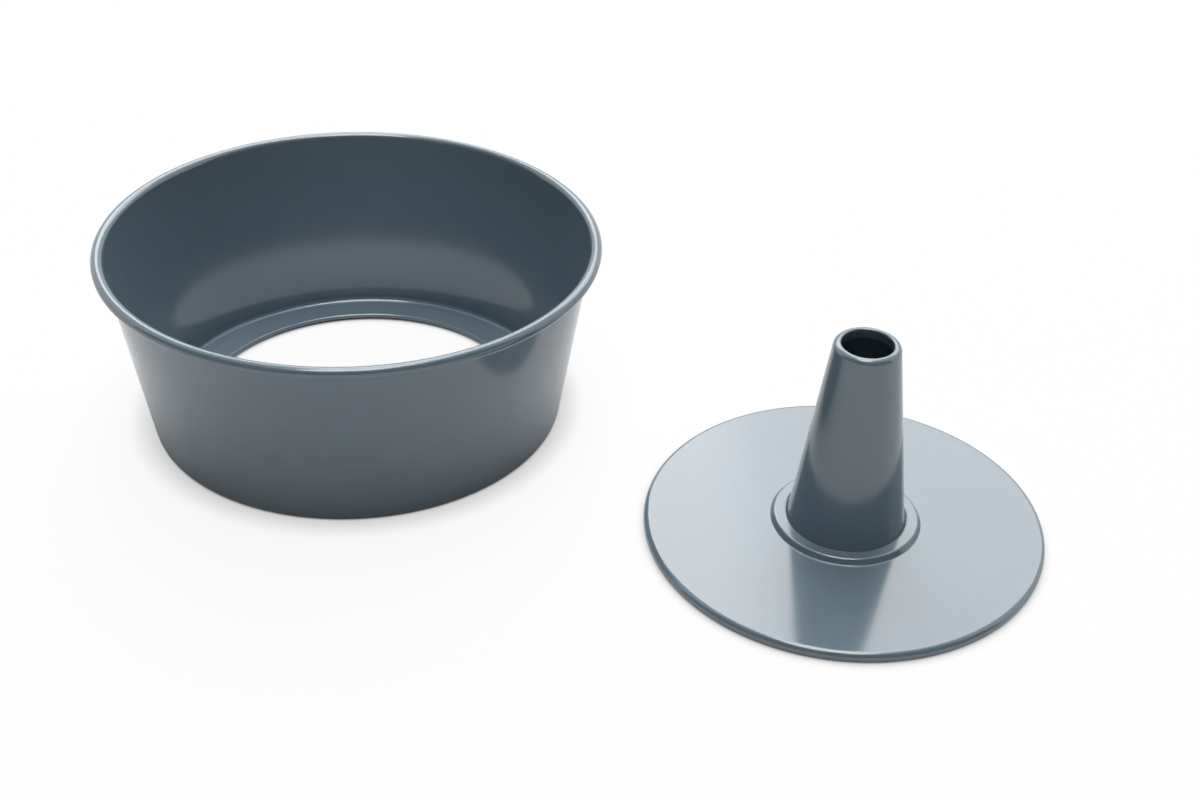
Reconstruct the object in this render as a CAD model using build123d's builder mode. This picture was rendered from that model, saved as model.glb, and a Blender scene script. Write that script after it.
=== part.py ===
"""An angel food cake pan in two pieces: a flared ring with a wired rim, and a lift-out base with a tube.

Millimetres, +Z up. The two halves stand side by side on one surface, as when the pan has been taken apart.
The origin is on that surface, in the middle of the pair's length, and both halves turn about axes in the
XZ plane. Every piece is pressed or spun from round stock, so each is one section turned about its axis.
"""

import math
import os

from build123d import *

# Sheet
sheet = 0.8

# The ring: a straight flared wall, rolled outwards over a wire at the rim and turned in to a ledge at the foot
rim_diameter = 254.0
wall_height = 102.0
foot_diameter = 213.0
rim_bead_diameter = 6.0
rim_bead_sweep = 300.0
wire_clearance = 0.3

# The foot of the ring: a bend, a channel for the base's edge, and a ledge round a hole with a turned-down lip
foot_bend_radius = 3.0
channel_width = 4.6
ledge_rise = 3.0
ledge_slope = 60.0
ledge_bend_radius = 1.2
ledge_width = 11.9
hole_bend_radius = 1.0
hole_lip_clearance = 1.8

# The base: a flat plate that stands on its rolled edge, in the channel, with a raised collar round the tube
seat_clearance = 2.95
plate_bead_diameter = 5.7
plate_bead_sweep = 285.0
collar_rise = 2.8
collar_flat_radius = 36.1
collar_slope = 58.0
collar_bend_radius = 1.0

# The tube: a tall cone, flanged under the collar at its foot and rolled inwards round its mouth
tube_height = 111.2
tube_foot_radius = 31.4
tube_foot_lean = 17.5
tube_foot_flare_radius = 35.0
flange_bend_radius = 1.2
flange_edge_clearance = 0.4
tube_hole_clearance = 0.2
mouth_radius = 12.9
mouth_lip_depth = 4.0
mouth_bend_radius = 0.6
shoulder_bend_radius = 2.6

# How far apart the two halves stand, rim to plate
standing_gap = 45.0

half_sheet = sheet / 2
quarter_turn = 90.0
half_turn = 180.0
channel_outer_radius = foot_diameter / 2 - half_sheet - foot_bend_radius
plate_diameter = 2 * (channel_outer_radius - seat_clearance) + plate_bead_diameter
pair_length = rim_diameter + standing_gap + plate_diameter
ring_x = (rim_diameter - pair_length) / 2
base_x = (pair_length - plate_diameter) / 2


def section_plane(axis_x):
    """The plane that a round piece's section is drawn on: its X runs out from the piece's axis, its Y up."""
    return Plane(origin=(axis_x, 0, 0), x_dir=(1, 0, 0), z_dir=(0, -1, 0))


def turning_axis(axis_x):
    """The upright axis that a round piece is turned about."""
    return Axis((axis_x, 0, 0), (0, 0, 1))


def crossing_lean(lower_centre, lower_radius, upper_centre, upper_radius):
    """Degrees from upright of a straight wall that leaves one bend and runs into another on its other side."""
    across = abs(upper_centre[0] - lower_centre[0])
    up = upper_centre[1] - lower_centre[1]
    crossing = math.asin((lower_radius + upper_radius) / math.hypot(across, up))
    return math.degrees(math.atan(across / up) - crossing)


def step_width(drop, slope, bend_radius):
    """How far a step between two levels of a sheet reaches, with the same bend at its top and its bottom."""
    turn = math.radians(slope)
    ramp = (drop - 2 * bend_radius * (1 - math.cos(turn))) / math.sin(turn)
    return 2 * bend_radius * math.sin(turn) + ramp * math.cos(turn)


def step_down(start, drop, slope, bend_radius):
    """Draw a step between two levels of a sheet's mid-line, running outwards, and return its lower end."""
    end = (start[0] + step_width(drop, slope, bend_radius), start[1] - drop)
    upper = CenterArc((start[0], start[1] - bend_radius), bend_radius, quarter_turn, -slope)
    lower = CenterArc((end[0], end[1] + bend_radius), bend_radius, -quarter_turn - slope, slope)
    Line(upper @ 1, lower @ 0)
    return end


# Pan wall: its mid-line, from the lip of the ledge's hole out and up to the end of the rim's curl
ledge_level = half_sheet + ledge_rise
ledge_step_width = step_width(ledge_rise, ledge_slope, ledge_bend_radius)
ledge_outer_radius = channel_outer_radius - channel_width - ledge_step_width
hole_radius = ledge_outer_radius - ledge_width
hole_bend_centre = (hole_radius + half_sheet + hole_bend_radius, ledge_level - hole_bend_radius)
foot_bend_centre = (channel_outer_radius, half_sheet + foot_bend_radius)
rim_bend_radius = (rim_bead_diameter - sheet) / 2
rim_bead_centre = ((rim_diameter - rim_bead_diameter) / 2, wall_height - rim_bead_diameter / 2)
wall_lean = crossing_lean(foot_bend_centre, foot_bend_radius, rim_bead_centre, rim_bend_radius)

with BuildPart() as pan_wall:
    with BuildSketch(section_plane(ring_x)):
        with BuildLine():
            hole_bend = CenterArc(hole_bend_centre, hole_bend_radius, half_turn, -quarter_turn)
            Line(((hole_bend @ 0).X, hole_lip_clearance), hole_bend @ 0)
            Line(hole_bend @ 1, (ledge_outer_radius, ledge_level))
            channel_start = step_down(
                (ledge_outer_radius, ledge_level), ledge_rise, ledge_slope, ledge_bend_radius
            )
            foot_bend = CenterArc(foot_bend_centre, foot_bend_radius, -quarter_turn, quarter_turn - wall_lean)
            Line(channel_start, foot_bend @ 0)
            rim_bead = CenterArc(rim_bead_centre, rim_bend_radius, half_turn - wall_lean, -rim_bead_sweep)
            Line(foot_bend @ 1, rim_bead @ 0)
        trace(line_width=sheet)
    revolve(axis=turning_axis(ring_x))
pan_wall.part.label = "pan_wall"

# Rim wire: a closed hoop inside the rim's curl
rim_wire_radius = rim_bend_radius - half_sheet - wire_clearance

with BuildPart() as rim_wire:
    with BuildSketch(section_plane(ring_x)):
        with Locations(rim_bead_centre):
            Circle(rim_wire_radius)
    revolve(axis=turning_axis(ring_x))
rim_wire.part.label = "rim_wire"

# Base plate: its mid-line, from the tube's hole out over the collar and down round the rolled edge
plate_bend_radius = (plate_bead_diameter - sheet) / 2
plate_bead_centre = ((plate_diameter - plate_bead_diameter) / 2, plate_bead_diameter / 2)
plate_level = plate_bead_diameter - half_sheet
collar_level = plate_level + collar_rise
tube_hole_radius = tube_foot_radius + tube_hole_clearance

with BuildPart() as base_plate:
    with BuildSketch(section_plane(base_x)):
        with BuildLine():
            Line((tube_hole_radius, collar_level), (collar_flat_radius, collar_level))
            plate_start = step_down(
                (collar_flat_radius, collar_level), collar_rise, collar_slope, collar_bend_radius
            )
            plate_bead = CenterArc(plate_bead_centre, plate_bend_radius, quarter_turn, -plate_bead_sweep)
            Line(plate_start, plate_bead @ 0)
        trace(line_width=sheet)
    revolve(axis=turning_axis(base_x))
base_plate.part.label = "base_plate"

# Centre tube: its mid-line, from the edge of the flange under the collar up and over to the mouth's lip
flange_level = collar_level - sheet
flange_edge_radius = collar_flat_radius - flange_edge_clearance
flange_bend_centre = (tube_foot_radius, flange_level + flange_bend_radius)
flare_reach = tube_foot_flare_radius - flange_bend_radius
flare_centre = (
    flange_bend_centre[0] + flare_reach * math.cos(math.radians(tube_foot_lean)),
    flange_bend_centre[1] + flare_reach * math.sin(math.radians(tube_foot_lean)),
)
mouth_bend_centre = (
    mouth_radius + half_sheet + mouth_bend_radius,
    tube_height - half_sheet - mouth_bend_radius,
)
shoulder_centre = (mouth_bend_centre[0], tube_height - half_sheet - shoulder_bend_radius)
tube_lean = crossing_lean(flare_centre, tube_foot_flare_radius, shoulder_centre, shoulder_bend_radius)

with BuildPart() as centre_tube:
    with BuildSketch(section_plane(base_x)):
        with BuildLine():
            flange_bend = CenterArc(
                flange_bend_centre, flange_bend_radius, -quarter_turn, tube_foot_lean - quarter_turn
            )
            Line((flange_edge_radius, flange_level), flange_bend @ 0)
            flare = CenterArc(
                flare_centre, tube_foot_flare_radius, half_turn + tube_foot_lean, tube_lean - tube_foot_lean
            )
            shoulder = CenterArc(shoulder_centre, shoulder_bend_radius, tube_lean, quarter_turn - tube_lean)
            Line(flare @ 1, shoulder @ 0)
            mouth_bend = CenterArc(mouth_bend_centre, mouth_bend_radius, quarter_turn, quarter_turn)
            Line(mouth_bend @ 1, (mouth_bend @ 1) - (0, mouth_lip_depth))
        trace(line_width=sheet)
    revolve(axis=turning_axis(base_x))
centre_tube.part.label = "centre_tube"

os.makedirs("parts", exist_ok=True)
for piece in (pan_wall, rim_wire, base_plate, centre_tube):
    export_step(piece.part, f"parts/{piece.part.label}.step")
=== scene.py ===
"""Angel food cake pan, taken apart: the flared ring stands beside its lift-out base and centre tube.

Every length is in metres and every angle in degrees. Both halves are round, so each sheet of metal is one
section, drawn point by point with extrude and spin, then turned about its own upright axis.
"""

from __future__ import annotations

import logging
import math
from dataclasses import dataclass, field
from enum import Enum

import bpy
from mathutils import Matrix, Vector

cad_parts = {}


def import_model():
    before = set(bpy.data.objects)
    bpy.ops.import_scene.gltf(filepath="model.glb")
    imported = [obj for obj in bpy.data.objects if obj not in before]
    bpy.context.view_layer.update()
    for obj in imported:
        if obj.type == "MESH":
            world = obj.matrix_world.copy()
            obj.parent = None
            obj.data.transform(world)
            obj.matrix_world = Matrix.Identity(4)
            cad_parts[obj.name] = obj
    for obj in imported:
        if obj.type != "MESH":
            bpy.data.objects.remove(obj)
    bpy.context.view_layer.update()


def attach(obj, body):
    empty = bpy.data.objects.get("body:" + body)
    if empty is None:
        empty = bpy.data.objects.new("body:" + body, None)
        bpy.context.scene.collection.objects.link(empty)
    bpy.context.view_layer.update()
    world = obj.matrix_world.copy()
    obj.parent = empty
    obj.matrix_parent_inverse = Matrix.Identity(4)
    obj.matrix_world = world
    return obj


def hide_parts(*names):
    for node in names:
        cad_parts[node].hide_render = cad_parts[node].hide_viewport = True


LOG = logging.getLogger("cake_pan")
SHEET = 0.0008
EDGE_ROUNDING = 0.00016
EDGE_STEPS = 2
CUT_EDGE_ANGLE = 60.0
SMOOTH_ANGLE = 40.0
MERGE_DISTANCE = 0.000001
QUARTER_TURN = 90.0
Point = tuple[float, float]
Colour = tuple[float, float, float]
WHITE: Colour = (1.0, 1.0, 1.0)


class Half(Enum):
    """The two halves that the pan comes apart into, by the names of their bodies."""

    RING = "ring"
    BASE = "base"


class Slot(Enum):
    """The finishes that the record names."""

    COATING = "coating"
    WIRE = "wire"


class Bend(Enum):
    """Which way a bend turns, seen with the axis on the left."""

    LEFT = 1
    RIGHT = -1


def deselect_everything() -> None:
    """Leave edit mode and deselect every object."""
    if bpy.context.object is not None and bpy.context.object.mode != "OBJECT":
        bpy.ops.object.mode_set(mode="OBJECT")
    bpy.ops.object.select_all(action="DESELECT")


def rgba(colour: Colour) -> tuple[float, float, float, float]:
    """Return a linear colour with full alpha."""
    return (*colour, 1.0)


def add_noise(
    material: bpy.types.Material, place: bpy.types.NodeSocket, size: float, detail: float
) -> bpy.types.NodeSocket:
    """Add an even noise to a material.

    Args:
        material: The material.
        place: Where each point lies.
        size: The width of one grain.
        detail: How many finer layers it has.

    Returns:
        The noise, from 0 to 1.
    """
    noise = material.node_tree.nodes.new("ShaderNodeTexNoise")
    noise.inputs["Scale"].default_value = 1.0 / size
    noise.inputs["Detail"].default_value = detail
    material.node_tree.links.new(place, noise.inputs["Vector"])
    return noise.outputs["Fac"]


def add_relief(
    material: bpy.types.Material, height: bpy.types.NodeSocket, depth: float
) -> bpy.types.ShaderNodeBump:
    """Add a fine relief to a material.

    Args:
        material: The material.
        height: How high each point stands, from 0 to 1.
        depth: The height of its highest point.

    Returns:
        The relief's bump.
    """
    bump = material.node_tree.nodes.new("ShaderNodeBump")
    bump.inputs["Strength"].default_value = 1.0
    bump.inputs["Distance"].default_value = depth
    material.node_tree.links.new(height, bump.inputs["Height"])
    return bump


@dataclass
class SheetPen:
    """Draws the mid-line of a turned sheet and turns it into a solid wall.

    The mid-line lies in the XZ plane through the piece's axis. Radii are measured from that axis.
    """

    name: str
    axis_x: float
    turns: int
    tip: Point = (0.0, 0.0)

    def start(self, radius: float, height: float) -> None:
        """Put down the first point of the mid-line.

        Args:
            radius: Distance of the point from the piece's axis.
            height: Height of the point above the floor.
        """
        deselect_everything()
        bpy.ops.mesh.primitive_plane_add(size=SHEET, location=(self.axis_x + radius, 0.0, height))
        bpy.context.object.name = self.name
        bpy.ops.object.transform_apply(location=True, rotation=True, scale=True)
        bpy.ops.object.mode_set(mode="EDIT")
        bpy.ops.mesh.select_all(action="SELECT")
        bpy.ops.mesh.merge(type="CENTER")
        self.tip = (radius, height)

    def line_to(self, radius: float, height: float, cuts: int = 0) -> None:
        """Draw a straight run from the last point.

        Args:
            radius: Distance of the run's end from the piece's axis.
            height: Height of the run's end.
            cuts: How many points divide the run.
        """
        parts = cuts + 1
        step = ((radius - self.tip[0]) / parts, 0.0, (height - self.tip[1]) / parts)
        for _ in range(parts):
            bpy.ops.mesh.extrude_region_move(TRANSFORM_OT_translate={"value": step})
        self.tip = (radius, height)

    def bend(self, centre: Point, degrees: float, way: Bend, steps: int) -> None:
        """Draw an arc from the last point.

        Args:
            centre: The arc's centre, as radius and height.
            degrees: How far the arc turns.
            way: Which way it turns.
            steps: How many edges it is made of.
        """
        turn = math.radians(degrees) * way.value
        bpy.ops.mesh.spin(
            steps=steps, angle=turn, center=(self.axis_x + centre[0], 0.0, centre[1]), axis=(0.0, 1.0, 0.0)
        )
        across = self.tip[0] - centre[0]
        up = self.tip[1] - centre[1]
        self.tip = (
            centre[0] + across * math.cos(turn) - up * math.sin(turn),
            centre[1] + across * math.sin(turn) + up * math.cos(turn),
        )

    def step_down(self, drop: float, slope: float, radius: float, steps: int) -> None:
        """Draw a step between two levels, running outwards.

        Args:
            drop: The height between the two levels.
            slope: How steep the step is.
            radius: The mid-line's radius at both of its bends.
            steps: How many edges each bend is made of.
        """
        turn = math.radians(slope)
        upper = (self.tip[0], self.tip[1] - radius)
        ramp = (drop - 2 * radius * (1 - math.cos(turn))) / math.sin(turn)
        reach = 2 * radius * math.sin(turn) + ramp * math.cos(turn)
        lower = (self.tip[0] + reach, self.tip[1] - drop + radius)
        self.bend(upper, slope, Bend.RIGHT, steps)
        self.line_to(lower[0] - radius * math.sin(turn), lower[1] - radius * math.cos(turn))
        self.bend(lower, slope, Bend.LEFT, steps)

    def turn(self) -> bpy.types.Object:
        """Turn the mid-line about the piece's axis and give it its thickness.

        Returns:
            The finished sheet, with its cut edges rounded and its flat runs shaded flat.
        """
        bpy.ops.mesh.select_all(action="SELECT")
        bpy.ops.mesh.spin(
            steps=self.turns, angle=math.tau, center=(self.axis_x, 0.0, 0.0), axis=(0.0, 0.0, 1.0)
        )
        bpy.ops.mesh.select_all(action="SELECT")
        bpy.ops.mesh.remove_doubles(threshold=MERGE_DISTANCE)
        bpy.ops.mesh.normals_make_consistent(inside=False)
        bpy.ops.object.mode_set(mode="OBJECT")
        piece = bpy.context.object
        thickness = piece.modifiers.new("Sheet", "SOLIDIFY")
        thickness.thickness = SHEET
        thickness.offset = 0.0
        thickness.use_even_offset = True
        thickness.use_rim = True
        edges = piece.modifiers.new("Cut edges", "BEVEL")
        edges.width = EDGE_ROUNDING
        edges.segments = EDGE_STEPS
        edges.limit_method = "ANGLE"
        edges.angle_limit = math.radians(CUT_EDGE_ANGLE)
        for modifier in ("Sheet", "Cut edges"):
            bpy.ops.object.modifier_apply(modifier=modifier)
        bpy.ops.object.shade_smooth_by_angle(angle=math.radians(SMOOTH_ANGLE))
        shading = piece.modifiers.new("Flat runs", "WEIGHTED_NORMAL")
        shading.keep_sharp = True
        bpy.ops.object.modifier_apply(modifier="Flat runs")
        return piece


@dataclass(frozen=True)
class SatinCoating:
    """Slate-blue satin release coating, baked onto sheet that was spun on a lathe."""

    name: str
    axis_x: float
    colour: Colour = (0.165, 0.230, 0.280)
    mottle: float = 0.05
    roughness: float = 0.13
    roughness_spread: float = 0.03
    ior: float = 1.75
    mottle_size: float = 0.018
    mottle_detail: float = 4.0
    peel_size: float = 0.0011
    peel_depth: float = 0.000008
    peel_detail: float = 2.0
    ring_pitch: float = 0.0009
    ring_depth: float = 0.000006
    ring_detail: float = 3.0

    def mix(self) -> bpy.types.Material:
        """Build the coating's nodes.

        Returns:
            A material whose lathe rings are centred on the piece's own axis.
        """
        material = bpy.data.materials.new(self.name)
        material.use_nodes = True
        nodes = material.node_tree.nodes
        links = material.node_tree.links
        surface = nodes["Principled BSDF"]
        surface.inputs["Base Color"].default_value = rgba(self.colour)
        surface.inputs["Roughness"].default_value = self.roughness
        surface.inputs["IOR"].default_value = self.ior

        place = nodes.new("ShaderNodeTexCoord")
        centred = nodes.new("ShaderNodeMapping")
        centred.inputs["Location"].default_value = (-self.axis_x, 0.0, 0.0)
        links.new(place.outputs["Object"], centred.inputs["Vector"])

        mottle = add_noise(material, centred.outputs["Vector"], self.mottle_size, self.mottle_detail)
        shade = nodes.new("ShaderNodeMix")
        shade.data_type = "RGBA"
        darker = tuple(channel * (1.0 - self.mottle) for channel in self.colour)
        lighter = tuple(channel * (1.0 + self.mottle) for channel in self.colour)
        shade.inputs["A"].default_value = rgba(darker)
        shade.inputs["B"].default_value = rgba(lighter)
        links.new(mottle, shade.inputs["Factor"])
        links.new(shade.outputs["Result"], surface.inputs["Base Color"])

        sheen = nodes.new("ShaderNodeMapRange")
        sheen.inputs["To Min"].default_value = self.roughness - self.roughness_spread
        sheen.inputs["To Max"].default_value = self.roughness + self.roughness_spread
        links.new(mottle, sheen.inputs["Value"])
        links.new(sheen.outputs["Result"], surface.inputs["Roughness"])

        apart = nodes.new("ShaderNodeSeparateXYZ")
        links.new(centred.outputs["Vector"], apart.inputs["Vector"])
        level = nodes.new("ShaderNodeCombineXYZ")
        links.new(apart.outputs["X"], level.inputs["X"])
        links.new(apart.outputs["Y"], level.inputs["Y"])
        radius = nodes.new("ShaderNodeVectorMath")
        radius.operation = "LENGTH"
        links.new(level.outputs["Vector"], radius.inputs[0])
        along = nodes.new("ShaderNodeCombineXYZ")
        links.new(radius.outputs["Value"], along.inputs["X"])
        links.new(apart.outputs["Z"], along.inputs["Z"])

        peel = add_noise(material, centred.outputs["Vector"], self.peel_size, self.peel_detail)
        rings = add_noise(material, along.outputs["Vector"], self.ring_pitch, self.ring_detail)
        peel_relief = add_relief(material, peel, self.peel_depth)
        ring_relief = add_relief(material, rings, self.ring_depth)
        links.new(peel_relief.outputs["Normal"], ring_relief.inputs["Normal"])
        links.new(ring_relief.outputs["Normal"], surface.inputs["Normal"])
        return material


@dataclass(frozen=True)
class DrawnWire:
    """Bright drawn steel wire, bare inside the rim's curl."""

    name: str = "drawn_wire"
    colour: Colour = (0.56, 0.57, 0.58)
    roughness: float = 0.34
    scratch_size: float = 0.0006
    scratch_depth: float = 0.00001
    scratch_detail: float = 3.0

    def mix(self) -> bpy.types.Material:
        """Build the wire's nodes.

        Returns:
            A metal with fine drawing scratches.
        """
        material = bpy.data.materials.new(self.name)
        material.use_nodes = True
        nodes = material.node_tree.nodes
        links = material.node_tree.links
        surface = nodes["Principled BSDF"]
        surface.inputs["Base Color"].default_value = rgba(self.colour)
        surface.inputs["Metallic"].default_value = 1.0
        surface.inputs["Roughness"].default_value = self.roughness
        place = nodes.new("ShaderNodeTexCoord")
        scratches = add_noise(
            material, place.outputs["Object"], self.scratch_size, self.scratch_detail
        )
        relief = add_relief(material, scratches, self.scratch_depth)
        links.new(relief.outputs["Normal"], surface.inputs["Normal"])
        return material


def dress(piece: bpy.types.Object, material: bpy.types.Material) -> None:
    """Give a piece one material all over.

    Args:
        piece: The piece.
        material: Its finish.
    """
    piece.data.materials.clear()
    piece.data.materials.append(material)


@dataclass
class Ring:
    """The outer ring: a flared wall, rolled over a wire at the rim and turned in to a ledge at the foot."""

    axis_x: float = -0.1255
    turns: int = 256
    hole_radius: float = 0.08388
    lip_end: float = 0.0018
    hole_bend_radius: float = 0.0010
    ledge_level: float = 0.0034
    ledge_outer_radius: float = 0.09538
    ledge_rise: float = 0.0030
    ledge_slope: float = 60.0
    ledge_bend_radius: float = 0.0012
    channel_outer_radius: float = 0.1031
    foot_bend_radius: float = 0.0030
    bead_centre: Point = (0.1240, 0.0990)
    bead_radius: float = 0.0026
    bead_sweep: float = 300.0
    hole_bend_steps: int = 8
    ledge_cuts: int = 2
    ledge_bend_steps: int = 5
    foot_bend_steps: int = 14
    wall_cuts: int = 8
    bead_steps: int = 36

    def wall_lean(self) -> float:
        """Return how far the wall leans out from upright."""
        across = self.bead_centre[0] - self.channel_outer_radius
        up = self.bead_centre[1] - SHEET / 2 - self.foot_bend_radius
        crossing = math.asin((self.foot_bend_radius + self.bead_radius) / math.hypot(across, up))
        return math.degrees(math.atan(across / up) - crossing)

    def spin_wall(self) -> bpy.types.Object:
        """Draw the wall's section from the hole's lip to the end of the rim's curl, and turn it.

        Returns:
            The ring's one sheet of metal.
        """
        lean = self.wall_lean()
        turn = math.radians(lean)
        hole_centre = (self.hole_radius + self.hole_bend_radius, self.ledge_level - self.hole_bend_radius)
        foot_centre = (self.channel_outer_radius, SHEET / 2 + self.foot_bend_radius)
        pen = SheetPen("ring_wall", self.axis_x, self.turns)
        pen.start(self.hole_radius, self.lip_end)
        pen.line_to(self.hole_radius, hole_centre[1])
        pen.bend(hole_centre, QUARTER_TURN, Bend.RIGHT, self.hole_bend_steps)
        pen.line_to(self.ledge_outer_radius, self.ledge_level, cuts=self.ledge_cuts)
        pen.step_down(self.ledge_rise, self.ledge_slope, self.ledge_bend_radius, self.ledge_bend_steps)
        pen.line_to(self.channel_outer_radius, SHEET / 2)
        pen.bend(foot_centre, QUARTER_TURN - lean, Bend.LEFT, self.foot_bend_steps)
        pen.line_to(
            self.bead_centre[0] - self.bead_radius * math.cos(turn),
            self.bead_centre[1] + self.bead_radius * math.sin(turn),
            cuts=self.wall_cuts,
        )
        pen.bend(self.bead_centre, self.bead_sweep, Bend.RIGHT, self.bead_steps)
        return pen.turn()

    def build(self, coating: bpy.types.Material, wire: bpy.types.Material) -> bpy.types.Object:
        """Build the ring and dress it.

        Args:
            coating: The finish of its sheet.
            wire: The finish of the wire inside its rim.

        Returns:
            The ring's wall.
        """
        wall = self.spin_wall()
        dress(wall, coating)
        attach(wall, Half.RING.value)
        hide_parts("pan_wall")
        for hoop in bpy.data.objects["rim_wire"].material_slots:
            hoop.material = wire
        return wall


@dataclass
class Base:
    """The lift-out base: a flat plate on a rolled edge, a raised collar, and the tall tube through it."""

    axis_x: float = 0.1495
    plate_turns: int = 256
    tube_turns: int = 160
    tube_hole_radius: float = 0.0316
    collar_flat_radius: float = 0.0361
    collar_level: float = 0.0081
    collar_rise: float = 0.0028
    collar_slope: float = 58.0
    collar_bend_radius: float = 0.0010
    plate_bead_centre: Point = (0.10015, 0.00285)
    plate_bead_radius: float = 0.00245
    plate_bead_sweep: float = 285.0
    flange_edge_radius: float = 0.0357
    flange_level: float = 0.0073
    tube_foot_radius: float = 0.0314
    flange_bend_radius: float = 0.0012
    tube_foot_lean: float = 17.5
    flare_radius: float = 0.0350
    shoulder_centre: Point = (0.0139, 0.1082)
    shoulder_radius: float = 0.0026
    mouth_bend_radius: float = 0.0006
    mouth_lip_depth: float = 0.0040
    collar_bend_steps: int = 7
    plate_cuts: int = 6
    plate_bead_steps: int = 34
    flange_bend_steps: int = 8
    flare_steps: int = 8
    cone_cuts: int = 8
    shoulder_steps: int = 10
    mouth_steps: int = 6

    def spin_plate(self) -> bpy.types.Object:
        """Draw the plate's section from the tube's hole to the end of its rolled edge, and turn it.

        Returns:
            The base's flat sheet.
        """
        pen = SheetPen("base_disc", self.axis_x, self.plate_turns)
        pen.start(self.tube_hole_radius, self.collar_level)
        pen.line_to(self.collar_flat_radius, self.collar_level)
        pen.step_down(
            self.collar_rise, self.collar_slope, self.collar_bend_radius, self.collar_bend_steps
        )
        pen.line_to(
            self.plate_bead_centre[0],
            self.plate_bead_centre[1] + self.plate_bead_radius,
            cuts=self.plate_cuts,
        )
        pen.bend(self.plate_bead_centre, self.plate_bead_sweep, Bend.RIGHT, self.plate_bead_steps)
        return pen.turn()

    def spin_tube(self) -> bpy.types.Object:
        """Draw the tube's section from its hidden flange up and over to the mouth's lip, and turn it.

        Returns:
            The tube's one sheet.
        """
        bend_centre = (self.tube_foot_radius, self.flange_level + self.flange_bend_radius)
        foot = math.radians(self.tube_foot_lean)
        reach = self.flare_radius - self.flange_bend_radius
        flare_centre = (bend_centre[0] + reach * math.cos(foot), bend_centre[1] + reach * math.sin(foot))
        across = flare_centre[0] - self.shoulder_centre[0]
        up = self.shoulder_centre[1] - flare_centre[1]
        crossing = math.asin((self.flare_radius + self.shoulder_radius) / math.hypot(across, up))
        lean = math.degrees(math.atan(across / up) - crossing)
        turn = math.radians(lean)
        pen = SheetPen("tube_cone", self.axis_x, self.tube_turns)
        pen.start(self.flange_edge_radius, self.flange_level)
        pen.line_to(self.tube_foot_radius, self.flange_level)
        pen.bend(bend_centre, QUARTER_TURN - self.tube_foot_lean, Bend.RIGHT, self.flange_bend_steps)
        pen.bend(flare_centre, self.tube_foot_lean - lean, Bend.RIGHT, self.flare_steps)
        pen.line_to(
            self.shoulder_centre[0] + self.shoulder_radius * math.cos(turn),
            self.shoulder_centre[1] + self.shoulder_radius * math.sin(turn),
            cuts=self.cone_cuts,
        )
        pen.bend(self.shoulder_centre, QUARTER_TURN - lean, Bend.LEFT, self.shoulder_steps)
        mouth_centre = (self.shoulder_centre[0], pen.tip[1] - self.mouth_bend_radius)
        pen.bend(mouth_centre, QUARTER_TURN, Bend.LEFT, self.mouth_steps)
        pen.line_to(pen.tip[0], pen.tip[1] - self.mouth_lip_depth)
        return pen.turn()

    def build(self, coating: bpy.types.Material) -> tuple[bpy.types.Object, bpy.types.Object]:
        """Build the base and dress it.

        Args:
            coating: The finish of its two sheets.

        Returns:
            The plate and the tube.
        """
        plate = self.spin_plate()
        tube = self.spin_tube()
        for piece, node in ((plate, "base_plate"), (tube, "centre_tube")):
            dress(piece, coating)
            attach(piece, Half.BASE.value)
            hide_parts(node)
        return plate, tube


@dataclass(frozen=True)
class Softbox:
    """A large soft lamp that faces the pan from far away."""

    name: str
    heading: float
    elevation: float
    width: float
    height: float
    radiance: float
    distance: float = 12.0
    colour: Colour = WHITE
    aim: tuple[float, float, float] = (0.0, 0.0, 0.03)

    def hang(self) -> bpy.types.Object:
        """Hang the lamp.

        Returns:
            The lamp, turned to face its aim.
        """
        heading = math.radians(self.heading)
        elevation = math.radians(self.elevation)
        away = Vector(
            (
                math.sin(heading) * math.cos(elevation),
                math.cos(heading) * math.cos(elevation),
                math.sin(elevation),
            )
        )
        deselect_everything()
        bpy.ops.object.light_add(type="AREA", location=Vector(self.aim) + away * self.distance)
        lamp = bpy.context.object
        lamp.name = self.name
        lamp.rotation_euler = away.to_track_quat("Z", "Y").to_euler()
        lamp.data.shape = "RECTANGLE"
        lamp.data.size = self.width
        lamp.data.size_y = self.height
        lamp.data.color = self.colour
        lamp.data.energy = self.radiance * math.pi * self.width * self.height
        return lamp


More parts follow.
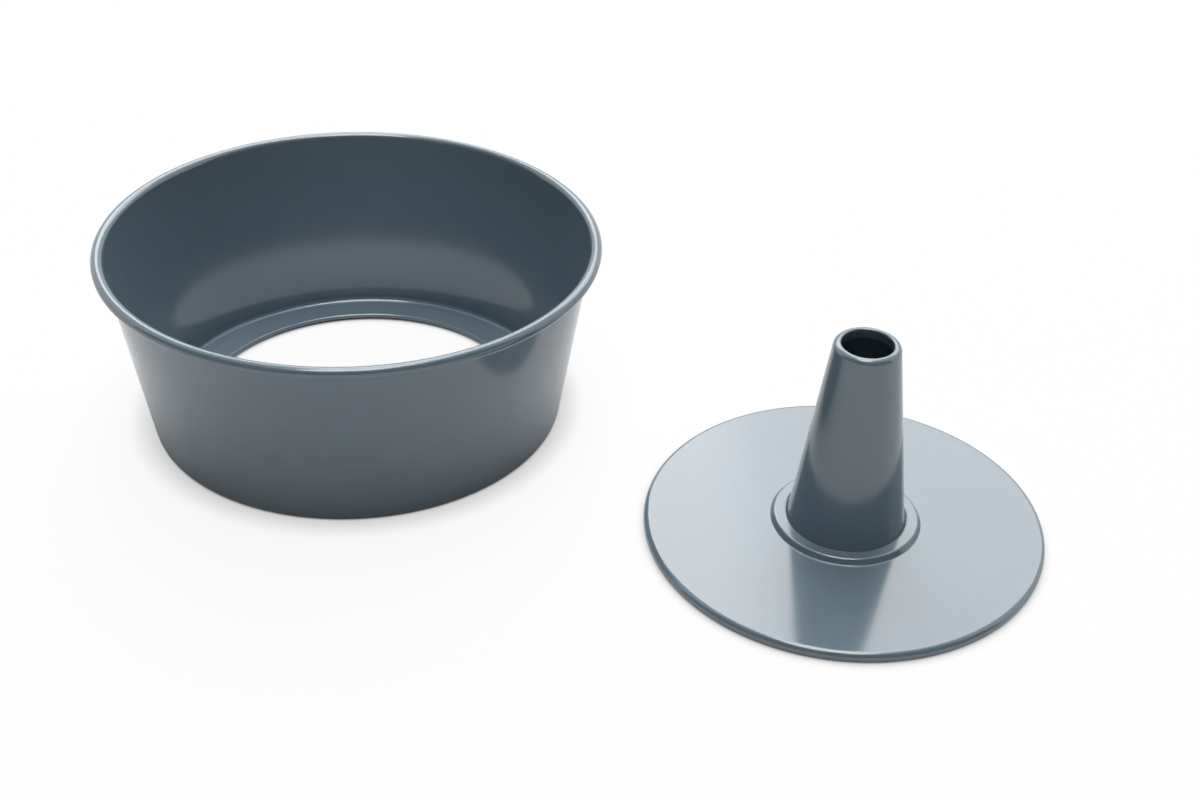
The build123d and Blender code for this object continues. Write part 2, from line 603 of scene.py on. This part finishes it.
@dataclass(frozen=True)
class Surroundings:
    """A white floor with a painted contact shadow, the white room round it, and a dark curtain on the
    camera's side.
    """

    floor_size: float = 60.0
    floor_roughness: float = 0.9
    floor_seen: float = 0.98
    floor_lit: float = 0.80
    floor_glow: float = 0.90
    floor_gloss_glow: float = 0.15
    # Painted contact shadow: how far, and how strongly, ambient occlusion darkens the floor's glow near the
    # pan.
    painted_shadow_reach: float = 0.020
    painted_shadow_steps: tuple[tuple[float, float], ...] = ((0.12, 0.0), (0.42, 0.66), (0.85, 1.0))
    room_seen: float = 1.0
    room_light: float = 0.07
    curtain_radius: float = 6.0
    curtain_heading: float = 164.0
    curtain_depth: float = 0.3
    curtain_top: float = 5.3
    curtain_foot: float = 0.01
    curtain_tone: float = 0.06
    curtain_roughness: float = 1.0
    curtain_segments: int = 96
    curtain_bands: int = 48

    def lay_floor(self) -> bpy.types.Object:
        """Lay the floor, which glows for the eye but not for soft light; ambient occlusion darkens its glow
        close to the pan as a painted contact shadow.

        Returns:
            The floor.
        """
        deselect_everything()
        bpy.ops.mesh.primitive_plane_add(size=self.floor_size, location=(0.0, 0.0, 0.0))
        floor = bpy.context.object
        floor.name = "floor"
        material = bpy.data.materials.new("white_floor")
        material.use_nodes = True
        nodes = material.node_tree.nodes
        links = material.node_tree.links
        surface = nodes["Principled BSDF"]
        surface.inputs["Roughness"].default_value = self.floor_roughness
        surface.inputs["Specular IOR Level"].default_value = 0.0
        tone = nodes.new("ShaderNodeMix")
        tone.data_type = "RGBA"
        tone.inputs["A"].default_value = rgba((self.floor_lit,) * 3)
        tone.inputs["B"].default_value = rgba((self.floor_seen,) * 3)
        links.new(self.share_seen(nodes, links, 1.0, 1.0), tone.inputs["Factor"])
        links.new(tone.outputs["Result"], surface.inputs["Base Color"])
        glow = nodes.new("ShaderNodeEmission")
        # Painted contact shadow: ambient occlusion darkens the floor's glow close to the pan.
        painted_shadow_occlusion = nodes.new("ShaderNodeAmbientOcclusion")
        painted_shadow_occlusion.inputs["Distance"].default_value = self.painted_shadow_reach
        painted_shadow_ramp = nodes.new("ShaderNodeValToRGB")
        while len(painted_shadow_ramp.color_ramp.elements) < len(self.painted_shadow_steps):
            painted_shadow_ramp.color_ramp.elements.new(1.0)
        for stop, (openness, brightness) in zip(painted_shadow_ramp.color_ramp.elements, self.painted_shadow_steps):
            stop.position = openness
            stop.color = rgba((brightness,) * 3)
        links.new(painted_shadow_occlusion.outputs["AO"], painted_shadow_ramp.inputs["Fac"])
        links.new(painted_shadow_ramp.outputs["Color"], glow.inputs["Strength"])
        blend = nodes.new("ShaderNodeMixShader")
        share = self.share_seen(nodes, links, self.floor_glow, self.floor_gloss_glow)
        links.new(share, blend.inputs["Fac"])
        links.new(surface.outputs["BSDF"], blend.inputs[1])
        links.new(glow.outputs["Emission"], blend.inputs[2])
        links.new(blend.outputs["Shader"], nodes["Material Output"].inputs["Surface"])
        dress(floor, material)
        return floor

    @staticmethod
    def share_seen(
        nodes: bpy.types.Nodes, links: bpy.types.NodeLinks, direct: float, mirrored: float
    ) -> bpy.types.NodeSocket:
        """Tell what the eye sees from what soft light sees.

        Args:
            nodes: The nodes to add to.
            links: The links to add to.
            direct: The value for what is seen directly.
            mirrored: The value for what is seen in a gloss or through glass.

        Returns:
            A socket with those values, and 0 for soft light.
        """
        path = nodes.new("ShaderNodeLightPath")
        mirror = nodes.new("ShaderNodeMath")
        mirror.operation = "MAXIMUM"
        links.new(path.outputs["Is Glossy Ray"], mirror.inputs[0])
        links.new(path.outputs["Is Transmission Ray"], mirror.inputs[1])
        mirror_share = nodes.new("ShaderNodeMath")
        mirror_share.operation = "MULTIPLY"
        mirror_share.inputs[1].default_value = mirrored
        links.new(mirror.outputs["Value"], mirror_share.inputs[0])
        total = nodes.new("ShaderNodeMath")
        total.operation = "MULTIPLY_ADD"
        total.inputs[1].default_value = direct
        links.new(path.outputs["Is Camera Ray"], total.inputs[0])
        links.new(mirror_share.outputs["Value"], total.inputs[2])
        return total.outputs["Value"]

    def fill_room(self) -> bpy.types.World:
        """Fill the room with even white.

        Returns:
            The room, as the scene's world.
        """
        world = bpy.data.worlds.new("white_room")
        bpy.context.scene.world = world
        world.use_nodes = True
        nodes = world.node_tree.nodes
        links = world.node_tree.links
        background = nodes["Background"]
        background.inputs["Color"].default_value = rgba(WHITE)
        strength = nodes.new("ShaderNodeMapRange")
        strength.inputs["To Min"].default_value = self.room_light
        strength.inputs["To Max"].default_value = self.room_seen
        links.new(self.share_seen(nodes, links, 1.0, 1.0), strength.inputs["Value"])
        links.new(strength.outputs["Result"], background.inputs["Strength"])
        return world

    def draw_curtain(self) -> bpy.types.Object:
        """Hang the dark curtain round the camera's side, where it shows in the coating's gloss alone.

        Returns:
            The curtain, a part of a dome that stands on the floor.
        """
        deselect_everything()
        bpy.ops.mesh.primitive_uv_sphere_add(
            segments=self.curtain_segments, ring_count=self.curtain_bands, radius=self.curtain_radius
        )
        curtain = bpy.context.object
        curtain.name = "camera_side_curtain"
        heading = math.radians(self.curtain_heading)
        front = Vector((math.sin(heading), math.cos(heading), 0.0))
        upright = Vector((0.0, 0.0, 1.0))
        bpy.ops.object.mode_set(mode="EDIT")
        cuts = (
            (front * self.curtain_depth, front, False, True),
            (upright * self.curtain_foot, upright, False, True),
            (upright * self.curtain_top, upright, True, False),
        )
        for place, normal, outer, inner in cuts:
            bpy.ops.mesh.select_all(action="SELECT")
            bpy.ops.mesh.bisect(
                plane_co=place, plane_no=normal, use_fill=False, clear_outer=outer, clear_inner=inner
            )
        bpy.ops.object.mode_set(mode="OBJECT")
        curtain.visible_camera = False
        material = bpy.data.materials.new("dark_curtain")
        material.use_nodes = True
        surface = material.node_tree.nodes["Principled BSDF"]
        surface.inputs["Base Color"].default_value = rgba((self.curtain_tone,) * 3)
        surface.inputs["Roughness"].default_value = self.curtain_roughness
        surface.inputs["Specular IOR Level"].default_value = 0.0
        dress(curtain, material)
        return curtain


@dataclass(frozen=True)
class Viewpoint:
    """The place and turn of the camera."""

    place: tuple[float, float, float] = (0.2866, -0.6896, 0.5432)
    heading: float = 13.69
    pitch: float = 31.08
    roll: float = 6.17
    lens: float = 51.48
    shift_x: float = -0.1731
    shift_y: float = -0.0656
    sensor_width: float = 36.0

    def set_up(self) -> bpy.types.Object:
        """Set the camera up and make it the scene's own.

        Returns:
            The camera.
        """
        deselect_everything()
        bpy.ops.object.camera_add()
        camera = bpy.context.object
        camera.name = "viewpoint"
        camera.matrix_world = (
            Matrix.Translation(Vector(self.place))
            @ Matrix.Rotation(math.radians(self.heading), 4, "Z")
            @ Matrix.Rotation(math.radians(QUARTER_TURN - self.pitch), 4, "X")
            @ Matrix.Rotation(math.radians(self.roll), 4, "Z")
        )
        camera.data.sensor_width = self.sensor_width
        camera.data.lens = self.lens
        camera.data.shift_x = self.shift_x
        camera.data.shift_y = self.shift_y
        bpy.context.scene.camera = camera
        return camera


@dataclass
class Studio:
    """The floor, the room, the lamps and the camera."""

    surroundings: Surroundings = Surroundings()
    viewpoint: Viewpoint = Viewpoint()
    lamps: list[Softbox] = field(
        default_factory=lambda: [
            Softbox("back_panel", -16.0, 38.5, 15.5, 4.4, 2.65),
            Softbox("back_panel_left", -36.0, 38.5, 7.2, 4.4, 1.2),
            Softbox("high_back", -13.7, 60.5, 6.0, 4.9, 3.5),
            Softbox("overhead", -13.7, 92.0, 5.1, 8.6, 5.6),
        ]
    )

    def set_up(self) -> None:
        """Set up everything round the pan."""
        self.surroundings.lay_floor()
        self.surroundings.fill_room()
        self.surroundings.draw_curtain()
        for lamp in self.lamps:
            lamp.hang()
        self.viewpoint.set_up()
        bpy.context.scene.view_settings.view_transform = "Standard"


def main() -> None:
    """Build the pan and its studio."""
    logging.basicConfig(level=logging.INFO, format="%(name)s: %(message)s")
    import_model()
    ring = Ring()
    base = Base()
    ring_coating = SatinCoating("ring_coating", ring.axis_x).mix()
    base_coating = SatinCoating("base_coating", base.axis_x).mix()
    wall = ring.build(ring_coating, DrawnWire().mix())
    plate, tube = base.build(base_coating)
    for piece in (wall, plate, tube):
        LOG.info("%s: %d faces", piece.name, len(piece.data.polygons))
    Studio().set_up()


if __name__ == "__main__":
    main()
